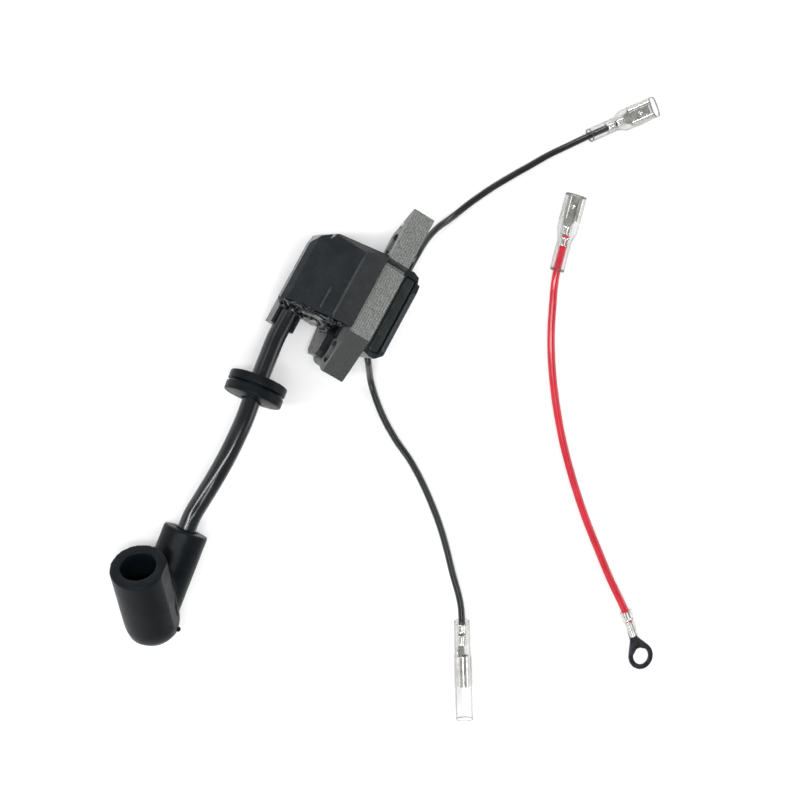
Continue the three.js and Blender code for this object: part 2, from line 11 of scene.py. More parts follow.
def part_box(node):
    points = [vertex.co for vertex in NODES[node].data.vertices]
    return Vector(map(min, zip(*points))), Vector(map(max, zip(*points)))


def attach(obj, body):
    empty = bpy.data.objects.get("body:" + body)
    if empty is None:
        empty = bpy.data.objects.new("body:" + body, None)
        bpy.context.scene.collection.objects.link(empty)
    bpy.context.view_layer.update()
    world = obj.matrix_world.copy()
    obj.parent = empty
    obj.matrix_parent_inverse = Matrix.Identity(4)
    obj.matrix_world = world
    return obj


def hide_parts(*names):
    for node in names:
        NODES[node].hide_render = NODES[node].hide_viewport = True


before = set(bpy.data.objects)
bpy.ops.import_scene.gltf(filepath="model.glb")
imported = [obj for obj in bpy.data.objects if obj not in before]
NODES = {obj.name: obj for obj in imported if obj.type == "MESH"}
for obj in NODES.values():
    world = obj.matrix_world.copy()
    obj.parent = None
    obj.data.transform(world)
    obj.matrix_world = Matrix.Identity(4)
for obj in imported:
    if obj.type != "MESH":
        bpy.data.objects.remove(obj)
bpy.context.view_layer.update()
MM = 0.001
WELD = 1e-7  # metres; points closer than this are joined


def mm(*point):
    return Vector(point) * MM


# ---------------------------------------------------------------- camera

EYE = mm(-224.7, -122.4, 746.2)
RIGHT = Vector((0.80954, 0.46739, 0.35522))
UP = Vector((-0.47858, 0.87587, -0.06177))
BACK = Vector((-0.34, -0.12, 0.93274))
SENSOR_WIDTH = 36
FOCAL_LENGTH = 92.52

camera_data = bpy.data.cameras.new("camera")
camera_data.sensor_width = SENSOR_WIDTH
camera_data.lens = FOCAL_LENGTH
camera_data.clip_start = 0.05
camera_data.clip_end = 10
camera = bpy.data.objects.new("camera", camera_data)
turn = Matrix((RIGHT, UP, BACK)).transposed()
camera.matrix_world = Matrix.Translation(EYE) @ turn.to_4x4()
bpy.context.collection.objects.link(camera)
bpy.context.scene.camera = camera

# ---------------------------------------------------------------- mesh helpers


def add_mesh(name, bm, material, body, replaces=(), smooth=True):
    mesh = bpy.data.meshes.new(name)
    bmesh.ops.recalc_face_normals(bm, faces=bm.faces[:])
    bm.to_mesh(mesh)
    bm.free()
    obj = bpy.data.objects.new(name, mesh)
    bpy.context.collection.objects.link(obj)
    if smooth:
        shade_smooth(obj)
    mesh.materials.append(material)
    if body:
        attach(obj, body)
    if replaces:
        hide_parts(*replaces)
    return obj


def cad_copy(node):
    """The CAD node's own surface, welded, with its flat faces joined up."""
    bm = bmesh.new()
    bm.from_mesh(NODES[node].data)
    bmesh.ops.remove_doubles(bm, verts=bm.verts[:], dist=1e-6)
    bmesh.ops.dissolve_limit(bm, angle_limit=math.radians(1), verts=bm.verts[:], edges=bm.edges[:])
    return bm


def bevel(obj, width, segments=3, angle=35):
    """Round the edges that turn by more than the angle, in degrees."""
    mod = obj.modifiers.new("bevel", "BEVEL")
    mod.width = width
    mod.segments = segments
    mod.limit_method = "ANGLE"
    mod.angle_limit = math.radians(angle)
    mod.harden_normals = True
    mod.miter_outer = "MITER_ARC"
    return obj


def apply_modifiers(obj):
    graph = bpy.context.evaluated_depsgraph_get()
    mesh = bpy.data.meshes.new_from_object(obj.evaluated_get(graph))
    obj.modifiers.clear()
    obj.data = mesh
    return obj


def remeshed(obj, voxel):
    """The object as one even skin of quads, ready to be softened."""
    remesh = obj.modifiers.new("remesh", "REMESH")
    remesh.mode = "VOXEL"
    remesh.voxel_size = voxel
    return apply_modifiers(obj)


def soften(bm, passes):
    for _ in range(passes):
        bmesh.ops.smooth_vert(bm, verts=bm.verts[:], factor=0.5,
                              use_axis_x=True, use_axis_y=True, use_axis_z=True)


def shade_smooth(obj, smooth=True):
    polygons = obj.data.polygons
    polygons.foreach_set("use_smooth", [smooth] * len(polygons))


def lofted(rings, cap=False):
    """Quads between closed rings of points; each ring has the same number of points."""
    bm = bmesh.new()
    rows = [[bm.verts.new(p) for p in ring] for ring in rings]
    count = len(rows[0])
    for a, b in zip(rows, rows[1:]):
        for i in range(count):
            bm.faces.new((a[i], a[(i + 1) % count], b[(i + 1) % count], b[i]))
    if cap:
        bm.faces.new(rows[0])
        bm.faces.new(rows[-1])
    return bm


def frame_on(origin, axis, up=(0, 0, 1)):
    """A matrix whose X runs along axis from origin, with Z as near up as it can be."""
    x = Vector(axis).normalized()
    y = Vector(up).cross(x).normalized()
    z = x.cross(y)
    return Matrix.Translation(origin) @ Matrix((x, y, z)).transposed().to_4x4()


def turned(profile, place, segments=64):
    """A profile of (x, radius) in millimetres turned about the X axis of place."""
    rings = []
    for x, r in profile + profile[:1]:
        ring = []
        for k in range(segments):
            a = 2 * math.pi * k / segments
            ring.append(place @ mm(x, r * math.cos(a), r * math.sin(a)))
        rings.append(ring)
    bm = lofted(rings)
    bmesh.ops.remove_doubles(bm, verts=bm.verts[:], dist=WELD)
    return bm


def rounded(profile, radius, steps=4):
    """The closed profile with each corner rounded, as far as its edges allow."""
    result = []
    count = len(profile)
    for i, corner in enumerate(profile):
        c = Vector(corner)
        before = Vector(profile[i - 1]) - c
        after = Vector(profile[(i + 1) % count]) - c
        cut = min(radius, before.length * 0.45, after.length * 0.45)
        a = c + before.normalized() * cut
        b = c + after.normalized() * cut
        for k in range(steps + 1):
            t = k / steps
            result.append(tuple(a * (1 - t) ** 2 + c * 2 * t * (1 - t) + b * t * t))
    return result


def catmull(points, per_span=10):
    """Centripetal Catmull-Rom through the points, as the CAD's own curve runs."""
    p = [Vector(q) for q in points]
    p = [p[0] * 2 - p[1]] + p + [p[-1] * 2 - p[-2]]
    out = []
    for i in range(1, len(p) - 2):
        a, b, c, d = p[i - 1:i + 3]
        t0 = 0
        t1 = t0 + (b - a).length ** 0.5
        t2 = t1 + (c - b).length ** 0.5
        t3 = t2 + (d - c).length ** 0.5
        for k in range(per_span):
            t = t1 + (t2 - t1) * k / per_span
            ab = a * ((t1 - t) / (t1 - t0)) + b * ((t - t0) / (t1 - t0))
            bc = b * ((t2 - t) / (t2 - t1)) + c * ((t - t1) / (t2 - t1))
            cd = c * ((t3 - t) / (t3 - t2)) + d * ((t - t2) / (t3 - t2))
            abc = ab * ((t2 - t) / (t2 - t0)) + bc * ((t - t0) / (t2 - t0))
            bcd = bc * ((t3 - t) / (t3 - t1)) + cd * ((t - t1) / (t3 - t1))
            out.append(abc * ((t2 - t) / (t2 - t1)) + bcd * ((t - t1) / (t2 - t1)))
    out.append(p[-2])
    return out


# ---------------------------------------------------------------- materials


TONE_EDGES = (0.36, 0.64)  # how far into the noise each tone reaches
RELIEF_HEIGHT = 0.2 * MM


def surface(name, dark, light, rough, metal=0.0, spots=400, grain=3000, bump=0.1, stretch=(1, 1, 1),
            spread=0.08, specular=0.5, lines=None):
    """A Principled surface: two tones mottled by noise, a roughness that varies, and a fine relief."""
    material = bpy.data.materials.new(name)
    material.use_nodes = True
    tree = material.node_tree
    shader = tree.nodes["Principled BSDF"]
    shader.inputs["Metallic"].default_value = metal
    shader.inputs["Specular IOR Level"].default_value = specular
    where = tree.nodes.new("ShaderNodeTexCoord")
    place = tree.nodes.new("ShaderNodeMapping")
    place.inputs["Scale"].default_value = stretch
    tree.links.new(where.outputs["Object"], place.inputs["Vector"])

    def texture(scale, detail):
        node = tree.nodes.new("ShaderNodeTexNoise")
        node.inputs["Scale"].default_value = scale
        node.inputs["Detail"].default_value = detail
        node.inputs["Roughness"].default_value = 0.6
        tree.links.new(place.outputs["Vector"], node.inputs["Vector"])
        return node

    tone = texture(spots, 8)
    ramp = tree.nodes.new("ShaderNodeValToRGB")
    for stop, position, colour in zip(ramp.color_ramp.elements, TONE_EDGES, (dark, light)):
        stop.position = position
        stop.color = (*colour, 1)
    tree.links.new(tone.outputs["Fac"], ramp.inputs["Fac"])
    tree.links.new(ramp.outputs["Color"], shader.inputs["Base Color"])
    gloss = tree.nodes.new("ShaderNodeMapRange")
    gloss.inputs["From Min"].default_value = 0.3
    gloss.inputs["From Max"].default_value = 0.7
    gloss.inputs["To Min"].default_value = max(0.02, rough - spread)
    gloss.inputs["To Max"].default_value = min(1, rough + spread)
    tree.links.new(texture(spots * 1.7, 4).outputs["Fac"], gloss.inputs["Value"])
    tree.links.new(gloss.outputs["Result"], shader.inputs["Roughness"])
    relief = texture(grain, 5).outputs["Fac"]
    if lines:
        direction, scale, share = lines
        wave = tree.nodes.new("ShaderNodeTexWave")
        wave.bands_direction = direction
        wave.inputs["Scale"].default_value = scale
        wave.inputs["Distortion"].default_value = 0.4
        tree.links.new(where.outputs["Object"], wave.inputs["Vector"])
        both = tree.nodes.new("ShaderNodeMix")
        both.inputs[0].default_value = share
        tree.links.new(relief, both.inputs[2])
        tree.links.new(wave.outputs["Fac"], both.inputs[3])
        relief = both.outputs[0]
    raised = tree.nodes.new("ShaderNodeBump")
    raised.inputs["Strength"].default_value = bump
    raised.inputs["Distance"].default_value = RELIEF_HEIGHT
    tree.links.new(relief, raised.inputs["Height"])
    tree.links.new(raised.outputs["Normal"], shader.inputs["Normal"])
    return material


def clear_vinyl(name, dark, light, least, most):
    """Clear vinyl: thin and nearly unseen face on, and more solid where it turns away."""
    edge = 0.42
    material = surface(name, dark, light, rough=0.1, spots=260, grain=700, spread=0.04)
    tree = material.node_tree
    facing = tree.nodes.new("ShaderNodeLayerWeight")
    facing.inputs["Blend"].default_value = edge
    amount = tree.nodes.new("ShaderNodeMapRange")
    amount.inputs["From Min"].default_value = edge
    amount.inputs["To Min"].default_value = least
    amount.inputs["To Max"].default_value = most
    tree.links.new(facing.outputs["Facing"], amount.inputs["Value"])
    tree.links.new(amount.outputs["Result"], tree.nodes["Principled BSDF"].inputs["Alpha"])
    return material


SHEET_EDGE = surface(
    "sheet_edge", (0.04, 0.042, 0.04), (0.34, 0.35, 0.34),
    rough=0.45, metal=0.35, spots=2600, grain=6000, bump=0.5, stretch=(1.5, 0.8, 0.8), spread=0.15,
)
SHEET_EDGE_DARK = surface(
    "sheet_edge_dark", (0.025, 0.027, 0.025), (0.25, 0.258, 0.25),
    rough=0.45, metal=0.35, spots=2600, grain=6000, bump=0.5, stretch=(1.5, 0.8, 0.8), spread=0.15,
)
# Sheet edges that slope or stand upright: a much darker copy of the sheet edge, painted shade where the
# edges turn away from the light.
SHEET_EDGE_PAINTED_SHADE = surface(
    "sheet_edge_painted_shade", (0.014, 0.017, 0.016), (0.040, 0.044, 0.042),
    rough=0.5, metal=0.15, spots=1200, grain=4000, bump=0.3, stretch=(2.5, 0.7, 0.7), spread=0.12,
)
SHEET_FACE = surface(
    "sheet_face", (0.12, 0.127, 0.125), (0.2, 0.21, 0.205),
    rough=0.55, metal=0.15, spots=160, grain=2500, bump=0.15, spread=0.1,
)
RIVET = surface(
    "rivet_steel", (0.25, 0.25, 0.245), (0.45, 0.45, 0.44),
    rough=0.35, metal=0.9, spots=600, grain=2500, bump=0.2,
)
CASE = surface(
    "case_plastic", (0.008, 0.010, 0.0115), (0.0135, 0.016, 0.018),
    rough=0.27, spots=120, grain=2600, bump=0.08, spread=0.05, specular=0.4,
)
# Lighter case plastic for the ribs: a painted highlight along the moulded edges.
CASE_PAINTED_HIGHLIGHT = surface(
    "case_plastic_painted_highlight", (0.017, 0.020, 0.022), (0.030, 0.034, 0.036),
    rough=0.4, spots=200, grain=2600, specular=0.4,
)
EPOXY = surface(
    "epoxy", (0.003, 0.004, 0.005), (0.005, 0.006, 0.007),
    rough=0.08, spots=200, grain=420, spread=0.03, specular=0.35,
)
TRAY_EPOXY = surface(
    "tray_epoxy", (0.011, 0.0135, 0.0135), (0.021, 0.025, 0.024),
    rough=0.22, spots=160, grain=900, bump=0.12, spread=0.06, specular=0.4,
)
FORMER = surface(
    "former_plastic", (0.03, 0.03, 0.033), (0.06, 0.06, 0.065),
    rough=0.55, spots=500, bump=0.15,
)
COPPER = surface(
    "copper_wire", (0.30, 0.09, 0.035), (0.62, 0.24, 0.10),
    rough=0.3, metal=0.9, spots=900, grain=2500, bump=0.5, stretch=(0.3, 0.3, 2), lines=("Z", 1400, 0.8),
)
BOARD = surface(
    "board_laminate", (0.012, 0.06, 0.02), (0.03, 0.13, 0.045),
    rough=0.4, spots=500, grain=2000, bump=0.2, lines=("Y", 500, 0.5),
)
CAPACITOR = surface(
    "capacitor_coat", (0.22, 0.03, 0.02), (0.36, 0.06, 0.04),
    rough=0.25, spots=250, grain=900, bump=0.25,
)
CHIP = surface(
    "component_body", (0.012, 0.012, 0.012), (0.03, 0.03, 0.03),
    rough=0.5, spots=900, grain=4500, bump=0.3,
)
BRASS = surface(
    "brass", (0.42, 0.28, 0.08), (0.68, 0.5, 0.2),
    rough=0.3, metal=0.95, spots=700, grain=2500, bump=0.2,
)
PLUG_LEAD = surface(
    "plug_lead_jacket", (0.006, 0.0075, 0.0085), (0.010, 0.012, 0.0135),
    rough=0.17, spots=90, grain=1500, bump=0.04, spread=0.04, specular=0.4,
)
RUBBER = surface(
    "black_rubber", (0.0032, 0.0044, 0.0056), (0.0056, 0.0074, 0.009),
    rough=0.36, spots=130, grain=1800, bump=0.12, spread=0.07, specular=0.08,
)
# Light grey for the bead round the boot's heel: a painted highlight where the heel's lower edge catches
# light.
HEEL_PAINTED_HIGHLIGHT = surface(
    "rubber_heel_painted_highlight", (0.08, 0.084, 0.088), (0.15, 0.155, 0.16),
    rough=0.4, grain=1800, bump=0.12, spread=0.07, specular=0.3,
)
SPRING = surface(
    "spring_steel", (0.35, 0.35, 0.35), (0.6, 0.6, 0.6),
    rough=0.3, metal=0.95, spots=700, grain=2500, bump=0.2,
)
BLACK_WIRE = surface(
    "black_wire", (0.005, 0.006, 0.007), (0.009, 0.010, 0.012),
    rough=0.2, spots=120, grain=900, bump=0.05, spread=0.05,
)
RED_WIRE = surface(
    "red_wire", (0.40, 0.006, 0.018), (0.50, 0.010, 0.026),
    rough=0.22, spots=120, grain=900, bump=0.04, spread=0.05, specular=0.45,
)
TIN = surface(
    "tin_plate", (0.44, 0.435, 0.415), (0.72, 0.715, 0.69),
    rough=0.13, metal=0.78, spots=420, grain=2600, bump=0.12, spread=0.05,
)
RING_TIN = surface(
    "ring_tin", (0.03, 0.029, 0.037), (0.1, 0.096, 0.108),
    rough=0.2, metal=0.85, spots=420, grain=2600, bump=0.2, spread=0.1,
)
VINYL = clear_vinyl("clear_vinyl", (0.15, 0.155, 0.15), (0.28, 0.285, 0.275), 0.025, 0.85)
VINYL_CUT = clear_vinyl("clear_vinyl_cut_end", (0.05, 0.05, 0.055), (0.10, 0.10, 0.105), 0.5, 0.9)

# ---------------------------------------------------------------- cords


def lead(name, node, route, diameter, material):
    """A round lead along its route, in place of the CAD's plain tube."""
    curve = bpy.data.curves.new(name, "CURVE")
    curve.dimensions = "3D"
    curve.bevel_depth = diameter / 2
    curve.bevel_resolution = 8
    curve.use_fill_caps = True
    spline = curve.splines.new("POLY")
    points = catmull([mm(*p) for p in route])
    spline.points.add(len(points) - 1)
    for control, p in zip(spline.points, points):
        control.co = (*p, 1)
    spline.use_smooth = True
    obj = bpy.data.objects.new(name, curve)
    bpy.context.collection.objects.link(obj)
    curve.materials.append(material)
    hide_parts(node)
    return obj


HT_ROUTE = [
    (-13.75, -19.2, 17), (-13.75, -24, 17), (-13.75, -28.2, 17), (-13.7, -32.3, 17.1),
    (-13.3, -36.7, 17.4), (-12.3, -46.6, 18.3), (-11.15, -56.75, 19.2), (-10.1, -64.8, 19.7),
    (-9.5, -72.7, 19.8), (-9.1, -80.6, 19.4), (-8.9, -89.25, 18.2), (-8.8, -97.25, 16.4),
    (-8.6, -104.15, 14.6), (-7.79, -110.19, 13.9), (-6.5, -118.05, 13.11), (-5.38, -124.92, 12.41),
    (-4.18, -132.29, 11.67),
]
UPPER_ROUTE = [
    (19.5, 10.2, 17), (19.5, 14.6, 17), (19.7, 18.5, 16.5), (20.6, 23.5, 14.2), (22, 28.5, 10.6),
    (23.8, 33.5, 7), (26.3, 38.8, 3.8), (29.8, 45.1, 1.8), (33.9, 54.2, 1.4), (38.4, 63.1, 1.4),
    (43.5, 71.9, 1.5), (48.5, 80, 1.8), (53.1, 87.6, 2.4), (58.7, 95.5, 2.9), (64.3, 103.3, 3),
    (68.3, 108.56, 3), (72, 113.43, 3),
]
LOWER_ROUTE = [
    (20.2, -17.98, 13), (22.5, -20.05, 13), (24.3, -21.6, 12), (26.5, -22.9, 9.3), (28.9, -24.2, 6.2),
    (31.4, -25.9, 3.5), (34.3, -28.1, 1.9), (38.2, -31.3, 1.4), (44.8, -36.2, 1.4), (53.1, -40.9, 1.4),
    (62.3, -45, 1.4), (70.7, -49.9, 1.4), (78.7, -55.5, 1.5), (86.3, -61.6, 1.7), (93.2, -68.2, 2.1),
    (99.6, -75.1, 2.8), (106, -81.5, 3.5), (109.4, -85.3, 3.6), (112.5, -89.9, 3.6), (115.4, -94.58, 3.6),
]
RED_ROUTE = [
    (75.38, 63.5, 3.2), (77.41, 55.6, 3.2), (78.9, 49.8, 3.2), (81.2, 44, 2.8), (84.2, 38.3, 2.2),
    (89.4, 28.4, 1.6), (95.2, 18.7, 1.6), (101.7, 9.6, 1.6), (108.9, 0.7, 1.6), (116.5, -7.7, 1.6),
    (124.7, -15.7, 1.6), (133.4, -23.4, 1.6), (142.5, -30.8, 1.6), (152, -37.8, 1.6),
    (161.6, -44.8, 1.7), (168.8, -49.7, 2.1), (175.5, -54.1, 2.3), (179.4, -57, 2.3),
]

ht_lead = lead("plug_lead", "ht_lead", HT_ROUTE, 7 * MM, PLUG_LEAD)
upper_lead = lead("upper_black_lead", "upper_lead", UPPER_ROUTE, 2.6 * MM, BLACK_WIRE)
lower_lead = lead("lower_black_lead", "lower_lead", LOWER_ROUTE, 2.6 * MM, BLACK_WIRE)
red_lead = lead("red_jumper_lead", "jumper_lead", RED_ROUTE, 3 * MM, RED_WIRE)
for cord_piece in (ht_lead, upper_lead, lower_lead):
    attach(cord_piece, "coil")
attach(red_lead, "jumper")

# ---------------------------------------------------------------- lamination stack


SHEETS = 18
SHEET_GAP = 0.02 * MM  # each side of a sheet


def lamination_stack():
    """The stamped sheets, each from the outline of the CAD stack's own face."""
    low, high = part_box("core_stack")
    source = cad_copy("core_stack")
    face_side = [f for f in source.faces if f.normal.x < -0.99 and f.calc_center_median().x < low[0] + 1e-4]
    pitch = (high[0] - low[0]) / SHEETS
    seed = random.Random(4)
    whole = bmesh.new()
    middle = Vector((0, (low[1] + high[1]) / 2, (low[2] + high[2]) / 2))
    for i in range(SHEETS):
        sheet = bmesh.new()
        known = {}
        slip = Vector((0, seed.uniform(-1, 1), seed.uniform(-1, 1))) * 0.05 * MM
        for face in face_side:
            ring = []
            for v in face.verts:
                if v.index not in known:
                    inward = (middle - v.co) * 0.0025
                    corner = (0, v.co.y + inward.y + slip.y, v.co.z + inward.z + slip.z)
                    known[v.index] = sheet.verts.new(corner)
                ring.append(known[v.index])
            sheet.faces.new(ring)
        for v in sheet.verts:
            v.co.x = low[0] + i * pitch + SHEET_GAP
        grown = bmesh.ops.extrude_face_region(sheet, geom=sheet.faces[:])
        for item in grown["geom"]:
            if isinstance(item, bmesh.types.BMVert):
                item.co.x += pitch - 2 * SHEET_GAP
        bmesh.ops.recalc_face_normals(sheet, faces=sheet.faces[:])
        rim = [e for e in sheet.edges if e.is_manifold and e.calc_face_angle(0) > 1.2
               and abs(e.verts[0].co.x - e.verts[1].co.x) < 1e-7]
        bmesh.ops.bevel(sheet, geom=rim, offset=0.045 * MM, segments=1, affect="EDGES", clamp_overlap=True)
        mesh = bpy.data.meshes.new("sheet")
        sheet.to_mesh(mesh)
        sheet.free()
        whole.from_mesh(mesh)
        bpy.data.meshes.remove(mesh)
    source.free()
    obj = add_mesh("lamination_sheets", whole, SHEET_EDGE, "coil", ["core_stack"],
                   smooth=False)
    for other in (SHEET_EDGE_PAINTED_SHADE, SHEET_FACE, SHEET_EDGE_DARK):
        obj.data.materials.append(other)
    for face in obj.data.polygons:
        if abs(face.normal.x) > 0.9:
            face.material_index = 2
        # Sloping and upright edge faces take the darker copy: painted shade.
        elif face.normal.z < 0.985 and abs(face.normal.x) < 0.3:
            face.material_index = 1
        elif int((face.center.x - low[0]) / pitch) % 2:
            face.material_index = 3
    return obj


lamination_stack()
for rivet in ("upper_ear_rivet", "crossbar_rivet", "return_leg_rivet"):
    bevel(add_mesh(rivet + "_head", cad_copy(rivet), RIVET, "coil", [rivet]), 0.08 * MM, 2)

# ---------------------------------------------------------------- case and potting

case = add_mesh("case_moulding", cad_copy("coil_case"), CASE, "coil", ["coil_case"])
bevel(case, 0.5 * MM, 3, 25)
even_shading = case.modifiers.new("even_shading", "WEIGHTED_NORMAL")
even_shading.weight = 100


def bar(name, points, width, height):
    """A moulded rib of the case with a rounded top along points, standing on them, in a lighter plastic
    that paints the highlight along its edge.
    """
    line = [mm(*p) for p in points]
    rings = []
    steps = 10
    for i, p in enumerate(line):
        ahead = (line[min(i + 1, len(line) - 1)] - line[max(i - 1, 0)]).normalized()
        across = ahead.cross(Vector((0, 0, 1))).normalized()
        shrink = 0.55 if i in (0, len(line) - 1) else 1
        ring = []
        for k in range(steps + 1):
            a = math.pi * k / steps
            side = math.copysign(abs(math.cos(a)) ** 0.6, math.cos(a)) * width / 2
            rise = Vector((0, 0, math.sin(a) ** 0.6 * height * shrink * MM))
            ring.append(p + across * side * shrink * MM + rise)
        root = Vector((0, 0, 0.3 * MM))
        ring.append(p - across * width / 2 * shrink * MM - root)
        ring.append(p + across * width / 2 * shrink * MM - root)
        rings.append(ring)
    return add_mesh(name, lofted(rings, cap=True), CASE_PAINTED_HIGHLIGHT, "coil")


def stack(x, y, z):
    """A point given in the lamination stack's own coordinates."""
    return (x + 6.3, y + 34.8, z)


# Each rib carries a painted highlight line in its lighter plastic.
bar("case_edge_rib", [stack(-9.75, -26.2 - 1.235 * k, 32.85) for k in range(21)], 0.9, 0.42)
bar("tray_rim", [stack(16.4, -27.2 - 1.26 * k, 25.9) for k in range(21)], 1.7, 0.4)
bar("case_short_rib", [stack(-15.4, -42.2 - 0.9 * k, 32.95) for k in range(11)], 0.8, 0.32)


POTTING_VOXEL = 0.35 * MM
DRIP_SQUASH = Matrix.Diagonal((1, 0.55, 0.9, 1))


def poured(node, name, open_side, swell, blobs=(), material=EPOXY):
    """A poured fill: the CAD form with drips on it, remeshed fine and wavy as epoxy sets."""
    bm = cad_copy(node)
    for centre, radius in blobs:
        bmesh.ops.create_icosphere(bm, subdivisions=3, radius=radius * MM,
                                   matrix=Matrix.Translation(mm(*centre)) @ DRIP_SQUASH)
    obj = add_mesh(name, bm, material, "coil", [node])
    remeshed(obj, POTTING_VOXEL)
    bm = bmesh.new()
    bm.from_mesh(obj.data)
    bm.normal_update()
    for v in bm.verts:
        facing = max(0, v.normal.dot(open_side))
        if facing > 0.4:
            wave = noise.noise(v.co * 230) * 0.8 + noise.noise(v.co * 520) * 0.3
            v.co += open_side * (wave * swell * MM)
    soften(bm, 3)
    bm.to_mesh(obj.data)
    bm.free()
    shade_smooth(obj)
    return obj


def case_end(x, z):
    """Y of the sloping plane that the open end of the case lies on, in the stack's coordinates."""
    return -52.7 + 0.127 * (x + 15.5) + 0.052 * (z - 33)


def end_drips():
    """Drips of epoxy over the open end of the case, and a collar of them round the plug lead."""
    draw = random.Random(11)
    drips = []
    for k in range(24):
        x = draw.uniform(-26, -4)
        z = draw.uniform(7, 29)
        if k < 11:
            x = -26 + 21 * k / 10 + draw.uniform(-0.8, 0.8)
            z = 31.6 - draw.uniform(0, 1.2) - (1.4 if x > -9.5 else 0)
        y = case_end(x, z) - draw.uniform(0.2, 0.9)
        radius = draw.uniform(1.5, 3.1)
        if x > -23.6 or z > 24:
            drips.append((stack(max(x, -24.6), y, z), radius))
    collar = (
        (-23.4, 17.5, 2), (-16.8, 17.5, 2), (-22.6, 19.8, 1.9), (-17.7, 19.8, 1.9), (-20.1, 21.2, 2),
    )
    for x, z, radius in collar:
        drips.append((stack(x, -55.6, z), radius))
    return drips


poured("potting_plug", "end_potting", Vector((0.12, -0.98, 0.1)).normalized(), 0.9, end_drips())
poured("tray_potting", "tray_fill", Vector((0, 0, 1)), 0.2, material=TRAY_EPOXY)

# ---------------------------------------------------------------- grommet

GROMMET_AT = mm(-11.62, -52.7, 18.85)
GROMMET_AXIS = (0.1, -1, 0.095)
grommet_profile = [
    (-4.5, 4.0), (4.5, 4.0), (4.5, 5.6), (3.9, 10.7), (3.5, 11.1), (0.5, 11.1), (0.45, 9.2), (-0.45, 9.2),
    (-0.5, 11.1), (-3.5, 11.1), (-3.9, 10.7), (-4.5, 5.6),
]
grommet_form = turned(rounded(grommet_profile, 0.3), frame_on(GROMMET_AT, GROMMET_AXIS), 96)
grommet = add_mesh("rubber_grommet", grommet_form, RUBBER, "grommet", ["lead_grommet"])

# ---------------------------------------------------------------- plug boot

ELBOW = mm(-2.15, -144.67, 10.42)
STEM_END = mm(-7.79, -110.19, 13.9)
MOUTH = mm(-21.12, -130, 27)
BOOT_VOXEL = 0.5 * MM
FLAT_REACH = 9.9 * MM  # from the tube's axis to the flat along its side
STEM_RADIUS = 9.2 * MM


def plug_boot():
    """Moulded rubber: the CAD form remeshed fine and softened, so its arms run into each other."""
    obj = add_mesh("angled_boot", cad_copy("spark_plug_boot"), RUBBER, "plug_boot", ["spark_plug_boot"])
    remeshed(obj, BOOT_VOXEL)
    bm = bmesh.new()
    bm.from_mesh(obj.data)
    soften(bm, 7)
    tube = (MOUTH - ELBOW).normalized()
    stem = (STEM_END - ELBOW).normalized()
    flat = Vector((0.754, 0.334, 0.566))
    flat = (flat - tube * flat.dot(tube)).normalized()
    for v in bm.verts:
        from_elbow = v.co - ELBOW
        off_stem = (from_elbow - stem * from_elbow.dot(stem)).length
        on_stem = from_elbow.dot(stem) > 0 and off_stem < STEM_RADIUS
        reach = from_elbow.dot(flat)
        if reach > FLAT_REACH and from_elbow.dot(tube) > -4 * MM and not on_stem:
            v.co -= flat * (reach - FLAT_REACH)
    bm.to_mesh(obj.data)
    bm.free()
    shade_smooth(obj)
    return obj


boot = plug_boot()


HEEL_LINE_RADIUS = 9.5
HEEL_LINE_BEAD = 0.24
HEEL_LINE_START = -105  # degrees round the heel
HEEL_LINE_SPAN = 170
HEEL_LINE_STEPS = 60
NUB_RADIUS = 1.0


def heel_highlight_bead():
    """A fine bead round the heel in light grey: a painted highlight along the heel's lower edge, with the
    nub where it ends.
    """
    tube = (MOUTH - ELBOW).normalized()
    middle = ELBOW - tube * 4 * MM
    under = (Vector((0.29, 0.1, -0.95)) + tube * 0.7).normalized()
    upper = -(under - tube * under.dot(tube)).normalized()
    across = tube.cross(upper)
    rings = []
    for k in range(HEEL_LINE_STEPS + 1):
        a = math.radians(HEEL_LINE_START + HEEL_LINE_SPAN * k / HEEL_LINE_STEPS)
        out = upper * math.cos(a) + across * math.sin(a)
        centre = middle + out * HEEL_LINE_RADIUS * MM
        rings.append([centre + (out * math.cos(b) + tube * math.sin(b)) * HEEL_LINE_BEAD * MM
                      for b in (math.tau * j / 8 for j in range(8))])
    bead = add_mesh("heel_highlight_bead", lofted(rings, cap=True), HEEL_PAINTED_HIGHLIGHT, "plug_boot")
    nub = bmesh.new()
    nub_at = middle + (upper * 0.42 + across * 0.9) * 9.7 * MM
    bmesh.ops.create_icosphere(nub, subdivisions=3, radius=NUB_RADIUS * MM,
                               matrix=Matrix.Translation(nub_at))
    return [bead, add_mesh("boot_nub", nub, RUBBER, "plug_boot")]


heel_highlight = heel_highlight_bead()


SPRING_WIRE = 0.9
SPRING_RADIUS = 3.7
SPRING_LENGTH = 5.6
SPRING_TURNS = 3
SPRING_DEPTH = 18  # from the mouth


def contact_spring():
    """The coil at the bottom of the boot that presses on the plug's tip."""
    curve = bpy.data.curves.new("boot_spring", "CURVE")
    curve.dimensions = "3D"
    curve.bevel_depth = SPRING_WIRE / 2 * MM
    curve.bevel_resolution = 4
    curve.use_fill_caps = True
    inward = (ELBOW - MOUTH).normalized()
    to_boot = Vector((0, 0, 1)).rotation_difference(inward)
    start = MOUTH + inward * SPRING_DEPTH * MM
    steps = 40 * SPRING_TURNS
    spline = curve.splines.new("POLY")
    spline.points.add(steps)
    for i, point in enumerate(spline.points):
        angle = i / steps * 2 * SPRING_TURNS * math.pi
        around = (math.cos(angle) * SPRING_RADIUS, math.sin(angle) * SPRING_RADIUS)
        local = mm(*around, i / steps * SPRING_LENGTH)
        point.co = (*(to_boot @ local + start), 1)
    obj = bpy.data.objects.new("boot_spring", curve)
    bpy.context.collection.objects.link(obj)
    curve.materials.append(SPRING)
    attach(obj, "plug_boot")
    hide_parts("boot_contact_spring")
    return obj


